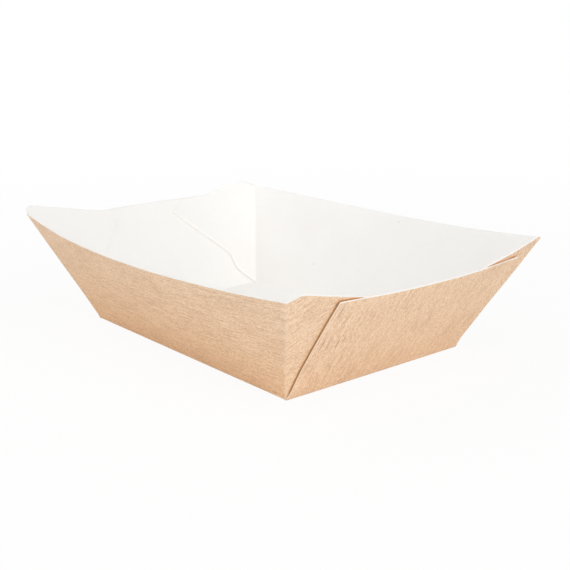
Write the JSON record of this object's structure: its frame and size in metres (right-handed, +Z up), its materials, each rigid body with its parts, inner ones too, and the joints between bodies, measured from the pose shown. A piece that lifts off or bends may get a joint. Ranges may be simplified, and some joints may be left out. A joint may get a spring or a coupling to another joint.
{
  "type": "paper food tray",
  "caption": "Open rectangular food tray folded from one sheet of kraft board, with flared walls and glued corner flaps.",
  "frame": {"origin": "on the table under the middle of the tray", "axes": "+X along the long side, +Z up out of the open top, +Y across towards the far long wall"},
  "size_m": [0.1588, 0.112, 0.0403],
  "materials": {
    "kraft_board": "matt brown kraft outside, matt white inside"
  },
  "bodies": {
    "root": {"food_tray": "kraft_board"}
  },
  "joints": []
}
